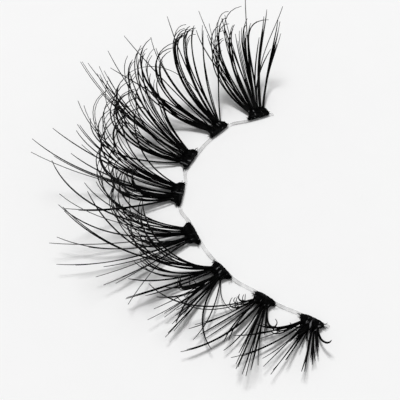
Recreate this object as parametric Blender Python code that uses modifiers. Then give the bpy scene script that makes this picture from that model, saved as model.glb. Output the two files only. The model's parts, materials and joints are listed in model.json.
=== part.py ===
# False eyelash strip: eight clusters of black lash locks on a clear band.
# The band bends in a C that is open towards +X, and stands on the surface with its locks
# fanning outwards and curling up. Metres, +Z up, origin at the middle of the box's underside.
import math

import bmesh
import bpy
from mathutils import Matrix, Vector

MM = 0.001

# Driving sizes
PITCH = 4.3 * MM              # from one root block to the next, along the band
LASH_LENGTH = 14.0 * MM       # the longest locks; every lock's length is a share of it
BLOCK_WIDTH = 2.3 * MM        # a root block, end to end of its base bar
BLOCK_DEPTH = 0.95 * MM       # from its inner face to where the locks leave it
BLOCK_HEIGHT = 0.56 * MM
BLOCK_ROUND = 0.05 * MM       # its worn edges
LOCK_ROOT = 0.46 * MM         # a full lock's thickness where it leaves the block
LOCK_TIP = 0.14 * MM
ROOT_SINK = 0.40 * MM         # how deep a lock starts inside its block
BAND_WIDTH = 0.30 * MM
BAND_THICK = 0.12 * MM
BAND_OVERRUN = 0.35 * MM      # what the band runs on past the end blocks
BAND_GAP = 0.06 * MM          # clear space between the band and the rebate that it lies in

# How the shapes are divided
LOCK_STEPS = 7
BEND_EASE = 1.5               # above 1 a lock stays straight near its root and bends near its tip
BAND_STEPS = 6                # divisions of the band between two blocks
WELD = 0.0015 * MM            # points this close are one

# Half of a block's plan: shares of half its width, and of its depth from the inner face
BLOCK_PLAN = (
    (0.86, 0.00),
    (1.00, 0.10),
    (0.90, 0.34),
    (0.68, 0.62),
    (0.70, 1.00),
)
NECK = 0.62                   # the stretch of the outer face that the locks leave from, of the width

# The chain of blocks along the band, from its +Y end: the gap to the next block as a share of
# the pitch, the heading of that gap, the heading of the block's own bar, and its width as a
# share of the block width. Headings are in degrees from +X, anticlockwise.
CHAIN = (
    # gap, heading, bar, width
    (0.97, -153.0, -159, 0.96),
    (1.04, -125.0, -134, 1.00),
    (0.96, -101.5, -117, 1.06),
    (1.03, -75.0, -99, 1.16),
    (1.03, -58.5, -66, 1.04),
    (1.01, -39.5, -51, 0.90),
    (0.96, -30.0, -36, 0.86),
    (0.00, 0.0, -29, 0.92),
)

# The locks of each block. across: from -1, the neck's end nearest the next block, to 1.
# level: height of the root, of the block's height. fan: degrees that the lock leaves to the
# side of straight outwards, towards the first block. sweep: how far it turns on that way by
# its tip. rise: its slope at the root. curl: how far its slope grows by the tip.
# length: of the lash length. thick: of a full lock's thickness.
LOCKS = (
    (
        # across, level, fan, sweep, rise, curl, length, thick
        (0.86, 0.60, 25, 26, 10, 65, 0.60, 0.8),
        (0.58, 0.70, 22, 14, 12, 60, 0.67, 0.7),
        (0.30, 0.60, 18, 6, 12, 50, 0.50, 0.6),
        (0.08, 0.60, 2, 55, 10, 70, 0.66, 1.0),
        (0.00, 0.70, 0, 90, 12, 60, 0.82, 0.8),
        (0.10, 0.70, 14, 0, 10, 40, 0.84, 0.5),
        (-0.20, 0.70, 6, -12, 12, 50, 0.69, 0.6),
        (-0.45, 0.60, -7, 4, 10, 60, 0.63, 0.9),
        (-0.65, 0.60, -22, 70, 10, 100, 0.75, 1.0),
        (-0.70, 0.70, -14, 0, 12, 35, 0.76, 0.5),
        (-0.90, 0.50, -28, 45, 8, 90, 0.60, 0.7),
    ),
    (
        (0.88, 0.60, 42, 10, 14, 60, 0.54, 0.6),
        (0.78, 0.70, 28, 30, 12, 90, 0.70, 0.6),
        (0.60, 0.60, 4, 70, 8, 105, 0.79, 1.0),
        (0.42, 0.60, 0, 60, 8, 105, 0.82, 1.0),
        (0.25, 0.70, 12, 0, 14, 40, 0.80, 0.5),
        (0.15, 0.60, -4, 10, 10, 60, 0.72, 0.9),
        (0.05, 0.70, 4, -95, 40, -40, 0.80, 0.6),
        (-0.45, 0.60, -14, 10, 10, 75, 0.72, 1.0),
        (-0.65, 0.60, -19, 20, 8, 78, 0.75, 1.0),
        (-0.85, 0.50, -25, 15, 6, 60, 0.69, 0.8),
    ),
    (
        (0.88, 0.60, 24, 0, 12, 60, 0.46, 0.6),
        (0.70, 0.60, 14, 50, 8, 110, 0.90, 1.0),
        (0.55, 0.50, 12, 10, 8, 85, 0.86, 1.0),
        (0.38, 0.70, 14, 10, 12, 60, 0.82, 0.8),
        (0.20, 0.60, 0, 6, 10, 48, 0.93, 0.7),
        (-0.12, 0.60, 2, 10, 8, 65, 0.88, 0.9),
        (-0.30, 0.70, 6, 0, 12, 55, 0.82, 0.7),
        (-0.50, 0.60, -4, 10, 8, 75, 0.86, 1.0),
        (-0.68, 0.50, -8, 20, 6, 85, 0.82, 0.9),
        (-0.88, 0.50, -16, 15, 5, 75, 0.74, 0.9),
    ),
    (
        (0.86, 0.60, 14, 20, 10, 105, 0.76, 0.9),
        (0.70, 0.60, 12, 10, 8, 92, 0.84, 1.0),
        (0.55, 0.70, 12, 5, 8, 70, 0.88, 0.8),
        (0.42, 0.60, 8, 5, 8, 28, 0.88, 0.5),
        (0.25, 0.50, 2, 10, 6, 95, 0.88, 1.0),
        (0.12, 0.60, -4, 6, 7, 42, 0.97, 0.7),
        (-0.18, 0.50, -3, 5, 6, 25, 0.94, 0.6),
        (-0.35, 0.60, -8, 0, 7, 60, 0.82, 0.8),
        (-0.55, 0.60, -16, 10, 6, 90, 0.78, 1.0),
        (-0.70, 0.50, -26, 5, 6, 110, 0.68, 0.9),
        (-0.90, 0.60, -30, 0, 6, 25, 0.72, 0.6),
    ),
    (
        (0.86, 0.60, 33, 0, 8, 115, 0.78, 0.9),
        (0.68, 0.70, 34, 0, 12, 40, 0.70, 0.5),
        (0.52, 0.60, 28, 10, 6, 75, 0.98, 0.9),
        (0.35, 0.60, 22, 0, 8, 50, 0.86, 0.8),
        (0.18, 0.50, 12, 10, 5, 85, 0.86, 0.9),
        (-0.10, 0.60, 14, 0, 6, 12, 0.82, 0.6),
        (-0.30, 0.50, 4, 0, 5, 35, 0.85, 0.8),
        (-0.50, 0.60, -2, 0, 5, 20, 0.82, 0.9),
        (-0.70, 0.50, -10, 0, 4, 15, 0.68, 0.8),
        (-0.90, 0.50, -16, 0, 3, 20, 0.62, 0.7),
    ),
    (
        (0.86, 0.60, 42, 0, 6, 60, 0.58, 0.7),
        (0.68, 0.60, 32, 0, 4, 60, 0.52, 0.8),
        (0.50, 0.60, 24, 0, 4, 55, 0.40, 0.8),
        (0.32, 0.60, 12, 0, 4, 10, 0.55, 0.9),
        (-0.08, 0.50, 2, 0, 4, 12, 0.47, 1.0),
        (-0.28, 0.60, -4, 8, 4, 10, 0.52, 0.9),
        (-0.45, 0.50, -14, 0, 3, 8, 0.42, 1.0),
        (-0.60, 0.50, -19, 0, 3, 6, 0.55, 0.9),
        (-0.80, 0.60, -46, 40, 4, 15, 0.50, 0.6),
        (-0.92, 0.50, -54, -30, 4, 60, 0.30, 0.6),
    ),
    (
        (0.86, 0.60, 36, 0, 5, 25, 0.38, 0.8),
        (0.70, 0.60, 26, 0, 4, 120, 0.34, 0.7),
        (0.55, 0.60, 18, 0, 4, 15, 0.47, 1.0),
        (0.38, 0.50, 13, 0, 4, 10, 0.45, 0.8),
        (0.15, 0.60, 5, 0, 4, 14, 0.59, 1.0),
        (-0.12, 0.50, 0, 0, 3, 8, 0.44, 0.8),
        (-0.32, 0.50, -12, 0, 3, 6, 0.45, 1.0),
        (-0.52, 0.60, -18, 0, 4, 8, 0.46, 0.9),
        (-0.72, 0.50, -25, 0, 4, 8, 0.46, 0.8),
        (-0.90, 0.50, -38, -60, 3, 150, 0.34, 0.8),
    ),
    (
        (0.88, 0.70, 34, 0, 5, 45, 0.33, 0.8),
        (0.74, 0.60, 30, 0, 5, 25, 0.48, 0.7),
        (0.56, 0.60, 23, 0, 4, 18, 0.55, 0.7),
        (0.38, 0.50, 12, 0, 3, 8, 0.40, 1.0),
        (0.16, 0.50, 5, 0, 3, 5, 0.43, 0.9),
        (-0.10, 0.50, -3, 0, 3, 5, 0.34, 0.9),
        (-0.34, 0.50, -16, 0, 3, 10, 0.38, 1.0),
        (-0.56, 0.50, -23, 0, 3, 8, 0.28, 1.0),
        (-0.74, 0.50, -32, 0, 3, 10, 0.25, 0.7),
        (-0.92, 0.50, -40, -60, 3, 40, 0.19, 0.7),
    ),
)

HAIR_COLOUR = (0.006, 0.006, 0.007, 1.0)
BAND_COLOUR = (0.86, 0.86, 0.85, 1.0)


# Scene and materials

def clear_scene():
    for old in list(bpy.data.objects):
        bpy.data.objects.remove(old, do_unlink=True)


def make_collection(name):
    group = bpy.data.collections.new(name)
    bpy.context.scene.collection.children.link(group)
    return group


def make_material(name, colour, roughness, transmission=0.0):
    material = bpy.data.materials.new(name)
    material.use_nodes = True
    shader = material.node_tree.nodes["Principled BSDF"]
    shader.inputs["Base Color"].default_value = colour
    shader.inputs["Roughness"].default_value = roughness
    shader.inputs["Metallic"].default_value = 0.0
    shader.inputs["Transmission Weight"].default_value = transmission
    return material


# Where each block stands

def heading_vector(degrees):
    angle = math.radians(degrees)
    return Vector((math.cos(angle), math.sin(angle), 0.0))


def walk_chain():
    """The place, bar direction, outward direction and width of each block along the band."""
    place = Vector((0.0, 0.0, 0.0))
    blocks = []
    for gap, heading, bar, width in CHAIN:
        along = heading_vector(bar)
        outward = heading_vector(bar - 90)
        blocks.append((place.copy(), along, outward, width * BLOCK_WIDTH, bar))
        place = place + PITCH * gap * heading_vector(heading)
    return blocks


# Meshes from curves

def to_mesh_object(curve_object, group):
    """The curve's evaluated shape as a closed mesh object of the same name."""
    depsgraph = bpy.context.evaluated_depsgraph_get()
    mesh = bpy.data.meshes.new_from_object(curve_object.evaluated_get(depsgraph))
    cleaned = bmesh.new()
    cleaned.from_mesh(mesh)
    bmesh.ops.remove_doubles(cleaned, verts=cleaned.verts, dist=WELD)
    bmesh.ops.recalc_face_normals(cleaned, faces=cleaned.faces)
    cleaned.to_mesh(mesh)
    cleaned.free()
    name = curve_object.name
    place = curve_object.matrix_world.copy()
    bpy.data.objects.remove(curve_object, do_unlink=True)
    result = bpy.data.objects.new(name, mesh)
    result.matrix_world = place
    group.objects.link(result)
    return result


def flat_plate(name, outline, thickness, group):
    """A plate of the outline's plan, its underside at z = 0."""
    curve = bpy.data.curves.new(name, "CURVE")
    curve.dimensions = "2D"
    curve.fill_mode = "BOTH"
    curve.extrude = thickness / 2
    spline = curve.splines.new("POLY")
    spline.points.add(len(outline) - 1)
    for point, (x, y) in zip(spline.points, outline):
        point.co = (x, y, 0.0, 1.0)
    spline.use_cyclic_u = True
    plate = bpy.data.objects.new(name, curve)
    plate.location.z = thickness / 2
    group.objects.link(plate)
    bpy.context.view_layer.update()
    return to_mesh_object(plate, group)


def tapered_tube(name, points, root, tip, group):
    """A tube along the points, thinning evenly from root to tip thickness."""
    curve = bpy.data.curves.new(name, "CURVE")
    curve.dimensions = "3D"
    curve.bevel_depth = root / 2
    curve.bevel_resolution = 1
    curve.use_fill_caps = True
    spline = curve.splines.new("POLY")
    spline.points.add(len(points) - 1)
    for index, (point, place) in enumerate(zip(spline.points, points)):
        share = index / (len(points) - 1)
        point.co = (*place, 1.0)
        point.radius = 1.0 + share * (tip / root - 1.0)
    tube = bpy.data.objects.new(name, curve)
    group.objects.link(tube)
    bpy.context.view_layer.update()
    return to_mesh_object(tube, group)


# Fusing and cutting

def boolean(target, cutters, operation):
    """Joins the cutters to the target, or cuts them away, and removes them."""
    for cutter in cutters:
        step = target.modifiers.new(operation.lower(), "BOOLEAN")
        step.operation = operation
        step.solver = "EXACT"
        step.object = cutter
    bpy.context.view_layer.update()
    depsgraph = bpy.context.evaluated_depsgraph_get()
    mesh = bpy.data.meshes.new_from_object(target.evaluated_get(depsgraph))
    target.modifiers.clear()
    old = target.data
    target.data = mesh
    bpy.data.meshes.remove(old)
    for cutter in cutters:
        bpy.data.objects.remove(cutter, do_unlink=True)


def tidy_mesh(target):
    """Merges what the fusing left too close together and splits the faces in triangles."""
    mesh = bmesh.new()
    mesh.from_mesh(target.data)
    bmesh.ops.remove_doubles(mesh, verts=mesh.verts, dist=WELD)
    bmesh.ops.dissolve_degenerate(mesh, edges=mesh.edges, dist=WELD)
    bmesh.ops.triangulate(mesh, faces=mesh.faces)
    mesh.to_mesh(target.data)
    mesh.free()


# The clear band

def smooth_between(start, start_way, end, end_way, share):
    """A point on the smooth curve that leaves start along start_way and reaches end along end_way."""
    reach = (end - start).length
    near = (1 + 2 * share) * (1 - share) ** 2
    far = share ** 2 * (3 - 2 * share)
    return (near * start + far * end
            + share * (1 - share) ** 2 * reach * start_way
            - share ** 2 * (1 - share) * reach * end_way)


def band_route(blocks):
    """The band's centre line: straight along each block's bar and smooth between two blocks."""
    route = []
    for index, (place, along, outward, width, bar) in enumerate(blocks):
        if index == 0:
            route.append(place - along * (width / 2 + BAND_OVERRUN))
        route.append(place - along * width / 2)
        end = place + along * width / 2
        route.append(end)
        if index == len(blocks) - 1:
            route.append(place + along * (width / 2 + BAND_OVERRUN))
            break
        next_place, next_along, next_outward, next_width, next_bar = blocks[index + 1]
        start = next_place - next_along * next_width / 2
        for step in range(1, BAND_STEPS):
            route.append(smooth_between(end, along, start, next_along, step / BAND_STEPS))
    return route


def ribbon_outline(route, width):
    """The plan of a ribbon of this width along the route, as one closed outline."""
    left = []
    right = []
    for index, point in enumerate(route):
        before = route[max(index - 1, 0)]
        after = route[min(index + 1, len(route) - 1)]
        way = (after - before).normalized()
        side = Vector((-way.y, way.x, 0.0)) * width / 2
        left.append((point.x + side.x, point.y + side.y))
        right.append((point.x - side.x, point.y - side.y))
    return left + right[::-1]


def make_band(blocks, group):
    outline = ribbon_outline(band_route(blocks), BAND_WIDTH)
    return flat_plate("clear_band", outline, BAND_THICK, group)


# A cluster: its root block and its locks

def block_outline(place, along, outward, width):
    half = [(share * width / 2, depth * BLOCK_DEPTH) for share, depth in BLOCK_PLAN]
    plan = half + [(-across, depth) for across, depth in half[::-1]]
    corners = [place - along * across + outward * depth for across, depth in plan]
    return [(corner.x, corner.y) for corner in corners]


def make_block(name, block, group):
    place, along, outward, width, bar = block
    body = flat_plate(name, block_outline(place, along, outward, width), BLOCK_HEIGHT, group)
    rounding = body.modifiers.new("worn_edges", "BEVEL")
    rounding.width = BLOCK_ROUND
    rounding.segments = 1
    rounding.limit_method = "ANGLE"
    return body


def rebate_cutter(block, group):
    """The space under the block's inner edge that the band lies in."""
    place, along, outward, width, bar = block
    deep = BAND_WIDTH / 2 + BAND_GAP
    high = BAND_THICK + BAND_GAP
    bpy.ops.mesh.primitive_cube_add(size=1.0)
    cutter = bpy.context.object
    cutter.name = "rebate"
    cutter.data.transform(Matrix.Diagonal((width * 2, deep * 2, high * 2, 1.0)))
    cutter.data.transform(Matrix.Rotation(math.radians(bar), 4, "Z"))
    cutter.data.transform(Matrix.Translation(place))
    cutter.hide_render = True
    cutter.display_type = "WIRE"
    for owner in list(cutter.users_collection):
        owner.objects.unlink(cutter)
    group.objects.link(cutter)
    return cutter


def lock_points(block, row):
    """The centre line of one lock, from inside the block to its tip."""
    place, along, outward, width, bar = block
    across, level, fan, sweep, rise, curl, length, thick = row
    point = (place + outward * (BLOCK_DEPTH - ROOT_SINK) - along * across * NECK * width / 2
             + Vector((0.0, 0.0, level * BLOCK_HEIGHT)))
    points = [point]
    step = length * LASH_LENGTH / LOCK_STEPS
    for index in range(LOCK_STEPS):
        bent = ((index + 0.5) / LOCK_STEPS) ** BEND_EASE
        slope = math.radians(rise + curl * bent)
        way = heading_vector(bar - 90 - fan - sweep * bent) * math.cos(slope)
        way.z = math.sin(slope)
        point = point + way * step
        points.append(point)
    return points


def make_cluster(number, block, rows, group, cutters):
    name = f"lash_cluster_{number}"
    body = make_block(name, block, group)
    boolean(body, [rebate_cutter(block, cutters)], "DIFFERENCE")
    locks = []
    for row in rows:
        thick = row[-1]
        tube = tapered_tube("lock", lock_points(block, row), LOCK_ROOT * thick, LOCK_TIP * thick, group)
        locks.append(tube)
    boolean(body, locks, "UNION")
    tidy_mesh(body)
    return body


def centre_on_base(pieces):
    """Moves the strip so that the middle of its box's underside is the origin."""
    corners = [piece.matrix_world @ vertex.co for piece in pieces for vertex in piece.data.vertices]
    low = Vector([min(corner[axis] for corner in corners) for axis in range(3)])
    high = Vector([max(corner[axis] for corner in corners) for axis in range(3)])
    shift = Vector((-(low.x + high.x) / 2, -(low.y + high.y) / 2, -low.z))
    for piece in pieces:
        piece.data.transform(Matrix.Translation(shift) @ piece.matrix_world)
        piece.matrix_world = Matrix.Identity(4)
    return shift


def finish_surface(piece, material):
    piece.data.materials.clear()
    piece.data.materials.append(material)
    piece.data.shade_smooth()
    piece.data.set_sharp_from_angle(angle=math.radians(35))


def main():
    clear_scene()
    parts = make_collection("false_eyelash_strip")
    cutters = make_collection("cutters")
    hair = make_material("black_lash_hair", HAIR_COLOUR, 0.38)
    clear = make_material("clear_band", BAND_COLOUR, 0.25, transmission=0.6)
    blocks = walk_chain()
    band = make_band(blocks, parts)
    clusters = []
    for number, (block, rows) in enumerate(zip(blocks, LOCKS), start=1):
        clusters.append(make_cluster(number, block, rows, parts, cutters))
    shift = centre_on_base([band] + clusters)
    finish_surface(band, clear)
    for cluster in clusters:
        finish_surface(cluster, hair)
    return blocks, shift


main()
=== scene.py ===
# Dressing for a false eyelash strip: root blocks, fine curled hairs and a clear band,
# photographed lying on a pale table.
import json
import math
import random

import bpy
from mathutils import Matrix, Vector


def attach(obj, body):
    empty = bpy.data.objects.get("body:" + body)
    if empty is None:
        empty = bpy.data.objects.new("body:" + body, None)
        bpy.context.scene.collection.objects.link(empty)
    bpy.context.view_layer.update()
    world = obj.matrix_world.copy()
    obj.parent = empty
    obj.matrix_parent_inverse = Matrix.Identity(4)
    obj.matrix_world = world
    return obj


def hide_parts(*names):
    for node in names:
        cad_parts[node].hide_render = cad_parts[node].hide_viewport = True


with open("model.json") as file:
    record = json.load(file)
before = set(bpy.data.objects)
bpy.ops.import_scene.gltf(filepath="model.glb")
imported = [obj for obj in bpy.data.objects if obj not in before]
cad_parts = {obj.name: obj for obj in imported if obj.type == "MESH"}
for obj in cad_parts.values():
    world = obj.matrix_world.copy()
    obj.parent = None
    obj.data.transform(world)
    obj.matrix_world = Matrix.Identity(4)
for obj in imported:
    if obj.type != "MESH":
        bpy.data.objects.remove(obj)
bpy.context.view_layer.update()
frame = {"nodes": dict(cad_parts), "record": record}

mm = 0.001

# The chain of root blocks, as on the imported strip. Headings in degrees from +X.
strip = {
    "pitch": 4.3 * mm,
    "lashLength": 14.0 * mm,
    "blockWidth": 2.3 * mm,
    "blockDepth": 0.95 * mm,
    "blockHeight": 0.56 * mm,
    "neck": 0.62,            # stretch of the outer face that hair leaves from
    "rootSink": 0.40 * mm,   # how far inside the outer face a hair starts
    "restInset": 0.60 * mm,  # from a block's inner face to its rest point
    "chain": [
        # gap to the next in pitches, heading to it, heading of the bar, width share
        (0.97, -153.0, -159, 0.96),
        (1.04, -125.0, -134, 1.00),
        (0.96, -101.5, -117, 1.06),
        (1.03, -75.0, -99, 1.16),
        (1.03, -58.5, -66, 1.04),
        (1.01, -39.5, -51, 0.90),
        (0.96, -30.0, -36, 0.86),
        (0.00, 0.0, -29, 0.92),
    ],
}


def headingVector(degrees):
    angle = math.radians(degrees)
    return Vector((math.cos(angle), math.sin(angle), 0))


def walkChain():
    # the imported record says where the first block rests, the chain gives the others
    mounts = {mount["name"]: mount for mount in frame["record"]["mounts"]}
    firstBar = strip["chain"][0][2]
    place = Vector(mounts["rest_block_1"]["pos_m"])
    place -= headingVector(firstBar - 90) * strip["restInset"]
    blocks = []
    for gap, heading, bar, width in strip["chain"]:
        blocks.append({
            "place": place.copy(),
            "along": headingVector(bar),
            "outward": headingVector(bar - 90),
            "bar": bar,
            "width": width * strip["blockWidth"],
        })
        place += strip["pitch"] * gap * headingVector(heading)
    return blocks


def blockPoint(block, side, depth, height):
    # side runs towards the strip's start, depth from the block's inner face outwards
    point = block["place"] + block["outward"] * depth - block["along"] * side
    point.z = height
    return point


blocks = walkChain()
print("strip: blocks placed", len(blocks))


# Materials

def newMaterial(name, colour, finish):
    material = bpy.data.materials.new(name)
    material.use_nodes = True
    shader = material.node_tree.nodes["Principled BSDF"]
    shader.inputs["Base Color"].default_value = (*colour, 1)
    shader.inputs["Roughness"].default_value = finish["roughness"]
    shader.inputs["Specular IOR Level"].default_value = finish["gloss"]
    return material, material.node_tree, shader


def addNode(tree, kind, **settings):
    node = tree.nodes.new(kind)
    for key, value in settings.items():
        setattr(node, key, value)
    return node


def addNoise(tree, place, scale, detail=2):
    noise = addNode(tree, "ShaderNodeTexNoise")
    noise.inputs["Scale"].default_value = scale
    noise.inputs["Detail"].default_value = detail
    tree.links.new(place, noise.inputs["Vector"])
    return noise.outputs["Fac"]


def addRamp(tree, value, low, high, stops=(0, 1)):
    # the low colour up to the first stop, the high one from the second on
    ramp = addNode(tree, "ShaderNodeValToRGB")
    for element, stop, colour in zip(ramp.color_ramp.elements, stops, (low, high)):
        element.position = stop
        element.color = (*colour, 1)
    tree.links.new(value, ramp.inputs["Fac"])
    return ramp.outputs["Color"]


def addRange(tree, value, stops, results):
    span = addNode(tree, "ShaderNodeMapRange")
    names = ("From Min", "From Max", "To Min", "To Max")
    for name, number in zip(names, (*stops, *results)):
        span.inputs[name].default_value = number
    tree.links.new(value, span.inputs["Value"])
    return span.outputs["Result"]


def addBump(tree, height, strength, distance):
    bump = addNode(tree, "ShaderNodeBump")
    bump.inputs["Strength"].default_value = strength
    bump.inputs["Distance"].default_value = distance
    tree.links.new(height, bump.inputs["Height"])
    return bump.outputs["Normal"]


hairFinish = {
    "deep": (0.0003, 0.0003, 0.0004),
    "pale": (0.0015, 0.0015, 0.0016),
    "toneStops": (0.35, 0.75),
    "toneScale": 900,
    "toneDetail": 3,
    "roughness": 0.42,
    "gloss": 0.04,
    "grainScale": 6000,
    "grainBump": 0.15,
    "grainDepth": 0.01 * mm,
}


def makeHairMaterial():
    material, tree, shader = newMaterial("lashHair", hairFinish["deep"], hairFinish)
    place = addNode(tree, "ShaderNodeTexCoord").outputs["Object"]
    tone = addNoise(tree, place, hairFinish["toneScale"], hairFinish["toneDetail"])
    colour = addRamp(tree, tone, hairFinish["deep"], hairFinish["pale"], hairFinish["toneStops"])
    grain = addNoise(tree, place, hairFinish["grainScale"])
    bump = addBump(tree, grain, hairFinish["grainBump"], hairFinish["grainDepth"])
    tree.links.new(colour, shader.inputs["Base Color"])
    tree.links.new(bump, shader.inputs["Normal"])
    return material


glueFinish = {
    "deep": (0.0003, 0.0003, 0.0004),
    "pale": (0.002, 0.002, 0.0021),
    "toneStops": (0.45, 0.80),
    "roughness": 0.5,
    "gloss": 0.03,
    "strandScale": 5200,          # ridges across the bar
    "strandDetail": 4,
    "strandStretch": 0.12,        # how much coarser the pattern is along the hair
    "strandBump": 0.5,
    "strandDepth": 0.03 * mm,
    # the pale grey of the painted highlight flecks
    "paintedGlint": (0.16, 0.16, 0.165),
    "paintedGlintStops": (0.66, 0.70),   # noise where a painted highlight fleck begins to show and shows fully
    "paintedGlintScale": 7000,
    "paintedGlintDetail": 1,
}


def makeGlueMaterial(number, bar):
    # strands that run out of the bar, with a few pale flecks painted on as highlights where the
    # glued roots would glint
    material, tree, shader = newMaterial(f"rootGlue{number}", glueFinish["deep"], glueFinish)
    coords = addNode(tree, "ShaderNodeTexCoord")
    turn = addNode(tree, "ShaderNodeMapping", vector_type="TEXTURE")
    turn.inputs["Rotation"].default_value = (0, 0, math.radians(bar))
    turn.inputs["Scale"].default_value = (1, 1 / glueFinish["strandStretch"], 1)
    tree.links.new(coords.outputs["Object"], turn.inputs["Vector"])
    place = turn.outputs["Vector"]
    strands = addNoise(tree, place, glueFinish["strandScale"], glueFinish["strandDetail"])
    tone = addRamp(tree, strands, glueFinish["deep"], glueFinish["pale"], glueFinish["toneStops"])
    # painted highlights: pale flecks put into the base colour, standing in for glints on the roots
    glintNoise = addNoise(tree, place, glueFinish["paintedGlintScale"], glueFinish["paintedGlintDetail"])
    glintMask = addRamp(tree, glintNoise, (0, 0, 0), (1, 1, 1), glueFinish["paintedGlintStops"])
    mix = addNode(tree, "ShaderNodeMixRGB")
    mix.inputs["Color2"].default_value = (*glueFinish["paintedGlint"], 1)
    tree.links.new(glintMask, mix.inputs["Fac"])
    tree.links.new(tone, mix.inputs["Color1"])
    bump = addBump(tree, strands, glueFinish["strandBump"], glueFinish["strandDepth"])
    tree.links.new(mix.outputs["Color"], shader.inputs["Base Color"])
    tree.links.new(bump, shader.inputs["Normal"])
    return material


bandFinish = {
    "face": (0.55, 0.55, 0.55),
    # painted shade: the darker grey given to the narrow edges
    "edge": (0.25, 0.25, 0.25),
    "faceAlpha": 0.20,
    "edgeAlpha": 0.55,
    "edgeStops": (0.3, 0.8),   # how far a surface faces up where the painted edge shade ends and the face begins
    "roughness": 0.15,
    "gloss": 0.5,
    "wear": 0.8,               # how much clearer the worn patches are
    "wearScale": 700,
    "wearStops": (0.35, 0.65),
}


def makeBandMaterial():
    # clear on its broad faces, greyer on its narrow edges: painted shade standing in for the dark
    # lines that bent light gives a clear tape's edges
    material, tree, shader = newMaterial("clearTape", bandFinish["face"], bandFinish)
    coords = addNode(tree, "ShaderNodeTexCoord")
    split = addNode(tree, "ShaderNodeSeparateXYZ")
    upright = addNode(tree, "ShaderNodeMath", operation="ABSOLUTE")
    tree.links.new(coords.outputs["Normal"], split.inputs["Vector"])
    tree.links.new(split.outputs["Z"], upright.inputs[0])
    facing = upright.outputs["Value"]
    # painted shade: surfaces that face sideways get the darker grey and more cover
    colour = addRamp(tree, facing, bandFinish["edge"], bandFinish["face"], bandFinish["edgeStops"])
    alphas = (bandFinish["edgeAlpha"], bandFinish["faceAlpha"])
    cover = addRange(tree, facing, bandFinish["edgeStops"], alphas)
    patches = addNoise(tree, coords.outputs["Object"], bandFinish["wearScale"])
    worn = addRange(tree, patches, bandFinish["wearStops"], (1 - bandFinish["wear"], 1))
    both = addNode(tree, "ShaderNodeMath", operation="MULTIPLY")
    tree.links.new(cover, both.inputs[0])
    tree.links.new(worn, both.inputs[1])
    tree.links.new(colour, shader.inputs["Base Color"])
    tree.links.new(both.outputs["Value"], shader.inputs["Alpha"])
    return material


hairMaterial = makeHairMaterial()
glueMaterials = []
for number, block in enumerate(blocks, start=1):
    glueMaterials.append(makeGlueMaterial(number, block["bar"]))
bandMaterial = makeBandMaterial()
print("materials: hair, glue and band ready")


def standIn(piece, number):
    # the piece is shown for the cluster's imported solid
    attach(piece, "root")
    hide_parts(f"lash_cluster_{number}")


# Hairs: one curve object for each cluster, every hair a thinning spline, turned into a mesh

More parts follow.
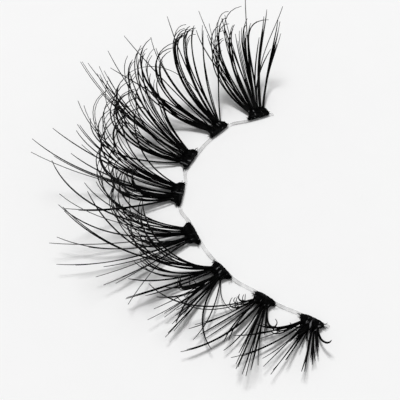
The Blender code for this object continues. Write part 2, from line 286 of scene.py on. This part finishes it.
# Hair guides of each cluster. across: -1..1 along the neck, 1 at the strip's start. fan and sweep
# turn a hair towards the start, at its root and by its tip. rise and curl: slope at the root and
# what it gains by the tip. length: in lash lengths. late: above 1 it bends near its tip, below 1
# near its root. hairs: how many follow the guide. loose: how far they stray. tuft: how far they
# close up again at the tip, 0 to 1.
guides = [
    [   # cluster 1
        # across, fan, sweep, rise, curl, length, late, hairs, loose, tuft
        (-0.95, -25, 0, 5, 125, 0.66, 1.5, 2, 0.5, 0.0),
        (-0.80, -20, 0, 8, 130, 0.82, 1.5, 4, 0.8, 0.0),
        (-0.60, -14, 0, 8, 105, 0.76, 1.5, 3, 1.0, 0.0),
        (-0.66, -10, 0, 8, 140, 0.96, 1.5, 3, 0.7, 0.0),
        (-0.40, -4, 0, 10, 115, 0.74, 1.5, 3, 0.9, 0.0),
        (-0.50, 2, -40, 8, 140, 0.96, 1.5, 1, 0.3, 0.0),
        (-0.60, -8, 0, 12, 30, 0.84, 1.5, 1, 0.3, 0.0),
        (-0.58, -11, 0, 10, 62, 0.72, 1.5, 3, 0.7, 0.0),
        (-0.30, 0, 0, 10, 48, 0.72, 1.5, 2, 0.6, 0.0),
        (-0.20, 6, -20, 12, 60, 0.74, 1.5, 2, 0.6, 0.0),
        (-0.10, 6, 0, 10, 40, 0.60, 1.5, 2, 0.5, 0.0),
        (0.00, 15, 0, 10, 60, 0.92, 1.5, 1, 0.2, 0.0),
        (0.05, 12, -20, 10, 110, 0.74, 1.5, 9, 0.7, 0.5),
        (0.15, 20, -60, 10, 150, 0.84, 1.5, 2, 0.3, 0.5),
        (0.20, 14, 25, 10, 60, 0.54, 1.5, 2, 0.7, 0.0),
        (0.50, 15, 70, 12, 65, 0.80, 1.5, 1, 0.3, 0.0),
        (0.58, 17, 30, 12, 75, 0.74, 1.5, 3, 0.5, 0.5),
        (0.88, 26, 32, 10, 75, 0.67, 1.5, 6, 0.6, 0.6),
    ],
    [   # cluster 2
        (0.88, 42, 10, 14, 60, 0.54, 1.5, 2, 0.8, 0.0),
        (0.80, 30, 0, 14, 90, 0.74, 1.5, 2, 0.8, 0.0),
        (0.70, 20, 0, 12, 110, 0.80, 1.5, 3, 0.7, 0.0),
        (0.60, 14, 0, 10, 140, 0.90, 1.5, 4, 0.35, 0.0),
        (0.50, 7, 0, 8, 140, 0.97, 1.5, 5, 0.35, 0.0),
        (0.42, 4, 0, 8, 138, 0.90, 1.5, 4, 0.4, 0.0),
        (0.25, 19, 0, 14, 35, 0.86, 1.5, 1, 0.2, 0.0),
        (0.15, -3, 0, 10, 70, 0.78, 1.5, 4, 0.5, 0.6),
        (0.05, 20, -125, 24, -30, 0.86, 2.0, 1, 0.1, 0.0),
        (-0.45, -17, 0, 8, 145, 0.90, 1.5, 4, 0.6, 0.2),
        (-0.65, -22, 0, 8, 125, 0.96, 1.5, 4, 0.5, 0.4),
        (-0.75, -25, 0, 8, 110, 0.90, 1.5, 3, 0.6, 0.0),
        (-0.50, 0, -10, 16, 25, 0.88, 1.5, 1, 0.4, 0.0),
        (-0.85, -10, -25, 12, 22, 0.80, 1.5, 1, 0.4, 0.0),
        (-0.90, -27, 0, 5, 100, 0.66, 1.5, 3, 0.6, 0.0),
    ],
    [   # cluster 3
        (0.88, 24, 0, 12, 60, 0.46, 1.5, 3, 0.7, 0.0),
        (0.80, 20, 0, 10, 70, 0.55, 1.5, 3, 0.8, 0.0),
        (0.70, 18, 0, 8, 125, 0.95, 1.5, 3, 0.6, 0.0),
        (0.60, 9, 0, 8, 120, 0.88, 1.5, 4, 0.9, 0.0),
        (0.55, 10, 0, 8, 110, 0.90, 1.5, 3, 1.0, 0.0),
        (0.38, 14, 10, 12, 60, 0.70, 1.5, 4, 0.4, 0.8),
        (0.45, 18, 0, 14, 40, 0.88, 1.5, 1, 0.3, 0.0),
        (0.20, 2, 6, 10, 48, 0.95, 1.5, 2, 0.5, 0.4),
        (0.25, 8, 0, 12, 36, 0.90, 1.5, 1, 0.3, 0.0),
        (0.10, 1, 6, 8, 60, 0.82, 1.5, 3, 0.4, 0.7),
        (-0.12, 7, 0, 8, 50, 0.95, 1.5, 2, 0.6, 0.0),
        (-0.30, 10, 0, 12, 50, 0.80, 1.5, 3, 1.0, 0.0),
        (-0.50, -4, 0, 8, 130, 0.90, 1.5, 3, 0.9, 0.0),
        (-0.68, -8, 0, 6, 140, 0.90, 1.5, 3, 1.0, 0.0),
        (-0.80, -14, 0, 5, 150, 0.90, 1.5, 3, 0.8, 0.0),
        (-0.88, -18, 0, 5, 140, 0.86, 1.5, 4, 0.8, 0.0),
        (-0.90, -30, 10, 4, 100, 0.80, 2.0, 2, 0.6, 0.0),
    ],
    [   # cluster 4
        (0.86, 14, 20, 10, 105, 0.76, 1.5, 3, 0.8, 0.0),
        (0.80, 14, 0, 8, 130, 0.95, 1.5, 3, 0.8, 0.0),
        (0.70, 10, 0, 8, 130, 1.05, 1.5, 2, 0.7, 0.0),
        (0.60, 6, 0, 8, 150, 1.00, 1.5, 4, 0.9, 0.0),
        (0.55, 15, 5, 8, 70, 0.88, 1.5, 2, 0.4, 0.0),
        (0.42, 8, 5, 8, 28, 0.88, 1.5, 1, 0.3, 0.0),
        (0.42, 9, 0, 7, 60, 0.78, 1.5, 3, 0.6, 0.0),
        (0.40, 4, 0, 6, 130, 0.92, 1.5, 3, 1.2, 0.0),
        (0.36, 4, 0, 7, 45, 0.68, 1.5, 1, 0.6, 0.0),
        (-0.26, -4, 6, 7, 42, 0.97, 1.5, 2, 0.2, 0.8),
        (-0.24, -1, 0, 8, 40, 0.72, 1.5, 1, 0.2, 0.0),
        (-0.30, -3, 5, 6, 25, 0.94, 1.5, 1, 0.2, 0.0),
        (-0.45, -10, 0, 6, 130, 0.84, 1.5, 5, 1.3, 0.0),
        (-0.70, -26, 0, 6, 125, 0.72, 1.5, 6, 1.4, 0.0),
        (-0.60, -18, 0, 6, 120, 0.64, 1.5, 5, 1.1, 0.0),
        (-0.90, -30, 0, 6, 25, 0.72, 1.5, 2, 0.3, 0.5),
    ],
    [   # cluster 5
        (0.86, 30, 0, 8, 110, 0.90, 1.5, 2, 0.7, 0.0),
        (0.78, 26, 0, 8, 125, 0.92, 1.5, 2, 0.9, 0.0),
        (0.62, 30, 0, 8, 60, 0.74, 1.5, 2, 0.5, 0.0),
        (0.52, 26, 10, 6, 75, 1.02, 1.5, 1, 0.2, 0.0),
        (0.50, 16, 0, 4, 130, 0.88, 1.3, 4, 0.9, 0.2),
        (0.35, 12, 0, 3, 115, 0.82, 1.3, 3, 1.0, 0.0),
        (0.28, 22, 0, 8, 50, 0.86, 1.5, 1, 0.4, 0.0),
        (0.22, 10, 33, 3, 45, 0.84, 1.5, 1, 0.3, 0.0),
        (0.22, 5, 0, 3, 100, 0.70, 1.3, 3, 0.8, 0.0),
        (0.18, 9, 12, 3, 9, 0.84, 1.5, 1, 0.3, 0.0),
        (-0.34, -3, 0, 3, 90, 0.60, 1.3, 4, 0.8, 0.0),
        (-0.34, 2, 42, 3, 9, 0.82, 1.5, 2, 0.4, 0.4),
        (-0.45, -8, 0, 3, 85, 0.50, 1.3, 4, 1.0, 0.0),
        (-0.50, -4, 27, 2, 6, 0.83, 1.5, 2, 0.3, 0.6),
        (-0.70, -9, 8, 2, 6, 0.64, 1.5, 2, 0.5, 0.0),
        (-0.90, -15, 8, 2, 6, 0.63, 1.5, 3, 0.4, 0.4),
        (-0.50, 5, -48, 3, 4, 0.64, 0.3, 1, 0.1, 0.0),
    ],
    [   # cluster 6
        (0.90, 34, 14, 9, 50, 1.00, 1.2, 2, 0.3, 0.0),
        (0.88, 32, 0, 11, 85, 1.00, 1.0, 4, 1.2, 0.0),
        (0.80, 25, 0, 8, 95, 0.86, 1.1, 3, 1.3, 0.0),
        (0.72, 20, 0, 3, 80, 0.62, 1.2, 3, 1.2, 0.0),
        (0.62, 14, 20, 3, 60, 0.58, 1.3, 3, 0.7, 0.0),
        (0.50, 13, 2, 2, 6, 0.57, 1.5, 2, 0.3, 0.4),
        (0.40, 8, 10, 2, 6, 0.46, 1.5, 2, 0.5, 0.2),
        (-0.20, 0, -10, 2, 120, 0.46, 2.2, 4, 1.0, 0.0),
        (-0.24, -4, 0, 2, 130, 0.38, 2.0, 3, 1.2, 0.0),
        (-0.28, 0, 6, 2, 8, 0.47, 1.5, 4, 1.0, 0.0),
        (-0.38, -6, 12, 2, 5, 0.54, 1.5, 3, 0.5, 0.3),
        (-0.45, -14, 0, 2, 5, 0.46, 1.5, 4, 0.7, 0.0),
        (-0.55, -16, 0, 2, 5, 0.55, 1.5, 3, 0.3, 0.6),
        (-0.55, -20, -60, 2, 5, 0.55, 1.5, 1, 0.1, 0.0),
        (-0.50, -44, 30, 2, 5, 0.50, 1.5, 1, 0.2, 0.0),
        (-0.60, -42, -50, 2, 20, 0.30, 1.5, 1, 0.2, 0.0),
    ],
    [   # cluster 7
        (0.90, 32, 24, 3, 60, 0.74, 1.3, 1, 0.3, 0.0),
        (0.84, 28, 18, 3, 70, 0.60, 1.6, 1, 0.3, 0.0),
        (0.70, 20, 8, 3, 8, 0.46, 1.5, 2, 0.5, 0.4),
        (0.85, 20, 0, 0, 130, 0.30, 2.0, 5, 1.6, 0.0),
        (0.80, 24, 10, 2, 110, 0.20, 1.6, 4, 1.6, 0.0),
        (0.55, 16, 2, 2, 5, 0.42, 1.5, 1, 0.5, 0.0),
        (0.38, 11, 0, 4, 10, 0.43, 1.5, 3, 0.9, 0.0),
        (0.15, 1, 38, 2, 5, 0.59, 1.5, 3, 0.2, 0.95),
        (-0.12, -10, 22, 2, 5, 0.41, 1.5, 1, 0.5, 0.0),
        (-0.30, -14, 0, 3, 8, 0.47, 1.5, 2, 0.4, 0.3),
        (-0.42, -15, 0, 4, 10, 0.51, 1.5, 2, 0.5, 0.2),
        (-0.52, -19, 0, 5, 10, 0.53, 1.5, 2, 0.5, 0.2),
        (-0.62, -23, 0, 5, 12, 0.50, 1.5, 2, 0.5, 0.2),
        (-0.80, -28, 0, 2, 10, 0.22, 1.5, 2, 0.8, 0.0),
        (-0.85, -28, -112, 2, 122, 0.32, 2.2, 3, 0.3, 0.6),
    ],
    [   # cluster 8
        (0.88, 32, 34, 4, 30, 0.30, 1.5, 3, 0.5, 0.0),
        (0.80, 26, 0, 2, 90, 0.32, 2.0, 3, 0.6, 0.0),
        (0.74, 36, 20, 3, 6, 0.42, 1.5, 1, 0.3, 0.0),
        (0.60, 35, 0, 3, 6, 0.31, 1.5, 2, 0.6, 0.0),
        (0.50, 22, 22, 2, 5, 0.50, 1.5, 2, 0.2, 0.6),
        (0.38, 12, 0, 3, 6, 0.40, 1.5, 2, 0.5, 0.3),
        (0.16, 5, 0, 3, 6, 0.42, 1.5, 2, 0.4, 0.5),
        (0.00, 2, 0, 5, 12, 0.31, 1.5, 2, 0.4, 0.5),
        (0.30, 10, 0, 4, 10, 0.18, 1.5, 6, 2.0, 0.0),
        (-0.05, -4, 0, 4, 10, 0.19, 1.5, 7, 2.0, 0.0),
        (-0.34, -16, 0, 5, 12, 0.34, 1.5, 3, 0.4, 0.4),
        (-0.50, -22, 0, 2, 5, 0.26, 1.5, 4, 0.6, 0.2),
        (-0.70, -28, 0, 2, 6, 0.20, 1.5, 3, 0.6, 0.2),
        (-0.88, -32, -70, 3, 75, 0.20, 2.0, 4, 0.4, 0.4),
    ],
]

hairShape = {
    "thick": 0.114 * mm,
    "thickShares": (0.60, 1.42),   # the thinnest and the thickest hair, of thick
    "coarse": (1.0, 0.97, 0.95, 0.88, 0.94, 0.96, 1.0, 1.0),   # thickness share of each cluster
    "tip": 0.05 * mm,
    "steps": 18,
    "taperEase": 5.0,        # above 1 a hair keeps its thickness until near its tip
    "levels": (0.35, 0.80),  # heights at the neck, of the block's
    "acrossStray": 0.09,
    "fanStray": 2.2,         # this and the next three: usual stray of a hair that is loose by 1
    "sweepStray": 24.0,
    "riseStray": 3.5,
    "curlStray": 15.0,
    "shortest": 0.80,        # of the guide's length
    "tuftRoot": 0.14 * mm,   # how far apart the hairs of a tuft leave the neck
    "tuftLift": 0.6,         # the same in height, as a share of it
    "tuftBow": 0.05 * mm,    # and how far they bow apart on their way to the tip
    "tuftCut": 4,            # steps that the shortest one lacks
    "floor": 0.03 * mm,      # the least height of a hair's underside
    "bevelSteps": 1,         # rounding of a hair
    "weld": 0.0005 * mm,     # joins the caps to the hair
    "seed": 11,
}


def guideLine(block, across, fan, sweep, rise, curl, length, late, level):
    # from the neck out along the guide
    side = across * strip["neck"] * block["width"] / 2
    depth = strip["blockDepth"] - strip["rootSink"]
    point = blockPoint(block, side, depth, level * strip["blockHeight"])
    points = [point]
    step = length * strip["lashLength"] / hairShape["steps"]
    for index in range(hairShape["steps"]):
        bent = ((index + 0.5) / hairShape["steps"]) ** late
        slope = math.radians(rise + curl * bent)
        way = headingVector(block["bar"] - 90 - fan - sweep * bent) * math.cos(slope)
        way.z = math.sin(slope)
        point = point + way * step
        points.append(point)
    return points


def strayShape(dice, shape, loose, tuft):
    # another hair of the same guide: the tighter the tuft, the closer it keeps
    across, fan, sweep, rise, curl, length, late = shape
    stray = loose * (1 - tuft)
    return (
        across + dice.uniform(-1, 1) * hairShape["acrossStray"] * (1 - tuft),
        fan + dice.gauss(0, 1) * hairShape["fanStray"] * stray,
        sweep + dice.gauss(0, 1) * hairShape["sweepStray"] * stray,
        rise + dice.gauss(0, 1) * hairShape["riseStray"] * stray,
        curl + dice.gauss(0, 1) * hairShape["curlStray"] * stray,
        length * (1 - (1 - hairShape["shortest"]) * loose * dice.random() * (1 - tuft)),
        late,
    )


def spreadInTuft(dice, points, tuft):
    # moves a hair off its guide at the neck and on the way, and back to it at the tip
    apart = dice.uniform(-1, 1) * hairShape["tuftRoot"] * tuft
    lift = dice.uniform(-1, 1) * hairShape["tuftRoot"] * tuft * hairShape["tuftLift"]
    bow = dice.uniform(-1, 1) * hairShape["tuftBow"] * tuft
    last = len(points) - 1
    moved = []
    for index, point in enumerate(points):
        share = index / last
        ahead = points[min(index + 1, last)] - points[max(index - 1, 0)]
        side = Vector((-ahead.y, ahead.x, 0))
        if side.length > 0:
            side.normalize()
        shift = side * (apart * (1 - share) + bow * math.sin(math.pi * share))
        moved.append(point + shift + Vector((0, 0, lift * (1 - share))))
    return moved


def addHair(curve, points, thick, tip):
    spline = curve.splines.new("POLY")
    spline.points.add(len(points) - 1)
    for index, (knot, place) in enumerate(zip(spline.points, points)):
        share = index / (len(points) - 1)
        width = thick + (tip - thick) * share ** hairShape["taperEase"]
        knot.co = (place.x, place.y, max(place.z, hairShape["floor"] + width / 2), 1)
        knot.radius = width / hairShape["thick"]


def addLashes(curve, dice, block, rows, coarse):
    for *guide, hairs, loose, tuft in rows:
        for hair in range(hairs):
            shape = strayShape(dice, guide, loose, tuft) if hair else guide   # the first keeps to it
            line = guideLine(block, *shape, dice.uniform(*hairShape["levels"]))
            if hair and tuft > 0:
                line = spreadInTuft(dice, line, tuft)
                line = line[:len(line) - dice.randint(0, hairShape["tuftCut"])]
            thick = hairShape["thick"] * coarse * dice.uniform(*hairShape["thickShares"])
            addHair(curve, line, thick, hairShape["tip"])


def addCurve(name):
    bpy.ops.object.select_all(action="DESELECT")
    bpy.ops.curve.primitive_bezier_curve_add(location=(0, 0, 0))
    piece = bpy.context.object
    piece.name = name
    piece.data.splines.clear()
    piece.data.dimensions = "3D"
    piece.data.bevel_depth = hairShape["thick"] / 2
    piece.data.bevel_resolution = hairShape["bevelSteps"]
    piece.data.use_fill_caps = True
    return piece


def curveToMesh(piece, material):
    bpy.ops.object.select_all(action="DESELECT")
    piece.select_set(True)
    bpy.context.view_layer.objects.active = piece
    bpy.ops.object.convert(target="MESH")
    bpy.ops.object.mode_set(mode="EDIT")
    bpy.ops.mesh.select_all(action="SELECT")
    bpy.ops.mesh.remove_doubles(threshold=hairShape["weld"])
    bpy.ops.mesh.normals_make_consistent(inside=False)
    bpy.ops.object.mode_set(mode="OBJECT")
    bpy.ops.object.shade_smooth()
    piece = bpy.context.object
    piece.data.materials.clear()
    piece.data.materials.append(material)
    return piece


def makeHairs(number, block, rows):
    piece = addCurve(f"lashHairs{number}")
    dice = random.Random(hairShape["seed"] + number)
    addLashes(piece.data, dice, block, rows, hairShape["coarse"][number - 1])
    return curveToMesh(piece, hairMaterial)


# Root strands: the glued roots that ridge a block's top, with the stubs at its ends

rootStrand = {
    "count": 24,
    "thick": 0.14 * mm,
    "thickShares": (0.75, 1.20),
    "tip": 0.7,              # thickness at the neck, of the strand's own
    "barShare": 0.47,        # reach along the bar, of the block's width
    "stray": 0.05 * mm,
    "course": [
        # drawn in from the bar's spread to the neck's, depth, height share
        (0, 0.04 * mm, 0.30),
        (0.088125, 0.09 * mm, 0.59),
        (1 / 3, 0.42 * mm, 0.88),
        (2 / 3, 0.714 * mm, 0.77),
        (1, 1.05 * mm, 0.66),
    ],
    "seed": 40,
}

# Frayed stubs, short hairs that stick out of the bar's ends
rootStub = {
    "count": 5,                        # at each end of the bar
    "thick": 0.06 * mm,
    "tip": 0.5,                        # thickness there, of the stub's own
    "length": (0.08 * mm, 0.26 * mm),
    "side": (0.84, 0.98),              # of the block's half width
    "depth": (0.04 * mm, 0.36 * mm),
    "height": (0.1, 0.6),              # of the block's
    "turn": 65,                        # degrees, either way from the bar's line
    "climb": (-0.2, 0.5),
    "middle": 0.6,                     # where a stub bends, of its length
    "bend": 0.4,                       # how far its end goes astray, of its length
    "bendTurn": 60,
}


def addRootStrands(curve, dice, block):
    for index in range(rootStrand["count"]):
        share = 2 * (index + 0.5) / rootStrand["count"] - 1
        bar = share * rootStrand["barShare"] * block["width"]
        neck = share * strip["neck"] * block["width"] / 2
        points = []
        for drawnIn, depth, height in rootStrand["course"]:
            side = bar + (neck - bar) * drawnIn
            points.append(blockPoint(block, side, depth, height * strip["blockHeight"]))
        for point in points:
            point += Vector([dice.uniform(-1, 1) * rootStrand["stray"] for axis in range(3)])
        thick = rootStrand["thick"] * dice.uniform(*rootStrand["thickShares"])
        addHair(curve, points, thick, thick * rootStrand["tip"])


def addStubs(curve, dice, block):
    for end, barTurn in ((-1, 0), (1, 180)):
        for index in range(rootStub["count"]):
            side = end * block["width"] / 2 * dice.uniform(*rootStub["side"])
            depth = dice.uniform(*rootStub["depth"])
            height = dice.uniform(*rootStub["height"]) * strip["blockHeight"]
            start = blockPoint(block, side, depth, height)
            heading = block["bar"] + barTurn + dice.uniform(-1, 1) * rootStub["turn"]
            way = headingVector(heading) + Vector((0, 0, dice.uniform(*rootStub["climb"])))
            reach = dice.uniform(*rootStub["length"])
            astray = headingVector(heading + dice.uniform(-1, 1) * rootStub["bendTurn"])
            middle = start + way * reach * rootStub["middle"]
            finish = start + way * reach + astray * reach * rootStub["bend"]
            thick = rootStub["thick"]
            addHair(curve, [start, middle, finish], thick, thick * rootStub["tip"])


def makeRootStrands(number, block):
    piece = addCurve(f"rootStrands{number}")
    dice = random.Random(rootStrand["seed"] + number)
    addRootStrands(piece.data, dice, block)
    addStubs(piece.data, dice, block)
    return curveToMesh(piece, glueMaterials[number - 1])


for number, (block, rows) in enumerate(zip(blocks, guides), start=1):
    for piece in (makeHairs(number, block, rows), makeRootStrands(number, block)):
        standIn(piece, number)
        print("cluster", number, "made", piece.name, "faces", len(piece.data.polygons))


# Root blocks: a cube drawn in to the waist, its ends lowered, then made lumpy

rootBlock = {
    "plan": [
        # depth share, half width share
        (0.00, 0.86),
        (0.12, 1.00),
        (0.34, 0.90),
        (0.62, 0.68),
        (1.00, 0.66),
    ],
    "height": 0.88,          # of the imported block's; the root strands make up the rest
    "endHeight": 0.62,       # height at the pointed ends, of the block's
    "endEase": 3,            # above 1 the top stays level until near the ends
    "neckDrop": 0.30,        # how much lower the top is at the neck
    "cuts": 7,
    "levels": 2,
    "lump": 0.10 * mm,
    "lumpSize": 0.22 * mm,
    "lift": 0.04 * mm,
}


def planShare(depth):
    rows = rootBlock["plan"]
    for (low, narrow), (high, wide) in zip(rows, rows[1:]):
        if depth <= high:
            return narrow + (wide - narrow) * (depth - low) / (high - low)
    return rows[-1][1]


def makeRootBlock(number, block):
    size = Vector((block["width"], strip["blockDepth"], strip["blockHeight"] * rootBlock["height"]))
    bpy.ops.object.select_all(action="DESELECT")
    bpy.ops.mesh.primitive_cube_add(size=1, location=(0, 0, 0))
    piece = bpy.context.object
    piece.name = f"rootBlock{number}"
    piece.data.materials.append(glueMaterials[number - 1])
    bpy.ops.object.mode_set(mode="EDIT")
    bpy.ops.mesh.select_all(action="SELECT")
    bpy.ops.mesh.subdivide(number_cuts=rootBlock["cuts"])
    bpy.ops.object.mode_set(mode="OBJECT")
    for vertex in piece.data.vertices:      # the cube's -Y face is the block's outer face
        across, depth, high = vertex.co.x * 2, 0.5 - vertex.co.y, vertex.co.z + 0.5
        wide = planShare(depth)
        drop = 1 - (1 - rootBlock["endHeight"]) * abs(across) ** rootBlock["endEase"]
        slope = 1 - rootBlock["neckDrop"] * depth
        vertex.co = (across * wide * size.x / 2, -depth * size.y, high * drop * slope * size.z)
    lumps = bpy.data.textures.new(f"lumps{number}", "CLOUDS")
    lumps.noise_scale = rootBlock["lumpSize"]
    smooth = piece.modifiers.new("smooth", "SUBSURF")
    smooth.levels = rootBlock["levels"]
    smooth.render_levels = rootBlock["levels"]
    rough = piece.modifiers.new("rough", "DISPLACE")
    rough.texture = lumps
    rough.strength = rootBlock["lump"]
    for name in ("smooth", "rough"):
        bpy.ops.object.modifier_apply(modifier=name)
    bpy.ops.object.shade_smooth()
    piece.rotation_euler.z = math.radians(block["bar"])
    piece.location = block["place"] + Vector((0, 0, rootBlock["lift"]))
    bpy.ops.object.transform_apply(location=True, rotation=True, scale=True)
    return piece


for number, block in enumerate(blocks, start=1):
    standIn(makeRootBlock(number, block), number)
print("root blocks: made", len(blocks))


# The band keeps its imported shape

band = frame["nodes"]["clear_band"]
band.data.materials.clear()
band.data.materials.append(bandMaterial)
print("band: finished")


# Table, light and camera

table = {
    "size": 6.0,
    "drop": 0.01 * mm,
    "colour": (0.90, 0.90, 0.90),
    "grain": (0.885, 0.885, 0.885),
    "grainScale": 300,
    "roughness": 0.9,
    "gloss": 0.0,
}


def makeTable():
    bpy.ops.object.select_all(action="DESELECT")
    bpy.ops.mesh.primitive_plane_add(size=table["size"], location=(0, 0, -table["drop"]))
    top = bpy.context.object
    top.name = "paleTable"
    material, tree, shader = newMaterial("paleTable", table["colour"], table)
    coords = addNode(tree, "ShaderNodeTexCoord")
    grain = addNoise(tree, coords.outputs["Object"], table["grainScale"])
    colour = addRamp(tree, grain, table["grain"], table["colour"])
    tree.links.new(colour, shader.inputs["Base Color"])
    top.data.materials.append(material)


studio = {
    "fill": 0.34,                   # brightness of the room overhead
    "horizon": 0.90,                # and low behind the table
    "horizonTop": 0.12,             # share of the way up where the latter has faded
    "keyPower": 47.5,
    "keySize": 0.80,
    "keyDistance": 2.5,
    "keyWay": (-0.12, 0.38, 1.0),   # towards the lamp
}


def makeLight():
    world = bpy.data.worlds.new("softRoom")
    world.use_nodes = True
    tree = world.node_tree
    room = tree.nodes["Background"]
    room.inputs["Color"].default_value = (1, 1, 1, 1)
    coords = addNode(tree, "ShaderNodeTexCoord")
    split = addNode(tree, "ShaderNodeSeparateXYZ")
    tree.links.new(coords.outputs["Generated"], split.inputs["Vector"])
    brightness = (studio["horizon"], studio["fill"])
    fade = addRange(tree, split.outputs["Z"], (0, studio["horizonTop"]), brightness)
    tree.links.new(fade, room.inputs["Strength"])
    bpy.context.scene.world = world
    way = Vector(studio["keyWay"]).normalized()
    bpy.ops.object.light_add(type="AREA", location=way * studio["keyDistance"])
    key = bpy.context.object
    key.name = "keyLight"
    key.data.shape = "DISK"
    key.data.size = studio["keySize"]
    key.data.energy = studio["keyPower"]
    key.rotation_euler = way.to_track_quat("Z", "Y").to_euler()


view = {
    "lens": 81.0,
    "sensor": 36,
    "distance": 78.9 * mm,
    "tilt": 40.0,                     # from straight down
    "firstBlock": (5.6 * mm, 10.1 * mm),   # where the first block lies from the picture's centre
    "nearest": 1 * mm,
    "farthest": 10.0,
}


def makeCamera():
    first = blocks[0]["place"]
    aim = Vector((first.x - view["firstBlock"][0], first.y - view["firstBlock"][1], 0))
    tilt = math.radians(view["tilt"])
    away = Vector((0, -math.sin(tilt), math.cos(tilt)))
    bpy.ops.object.camera_add(location=aim + away * view["distance"], rotation=(tilt, 0, 0))
    camera = bpy.context.object
    camera.data.lens = view["lens"]
    camera.data.sensor_width = view["sensor"]
    camera.data.clip_start = view["nearest"]
    camera.data.clip_end = view["farthest"]
    bpy.context.scene.camera = camera


makeTable()
makeLight()
makeCamera()
bpy.context.scene.view_settings.view_transform = "Standard"
print("studio: table, light and camera set")
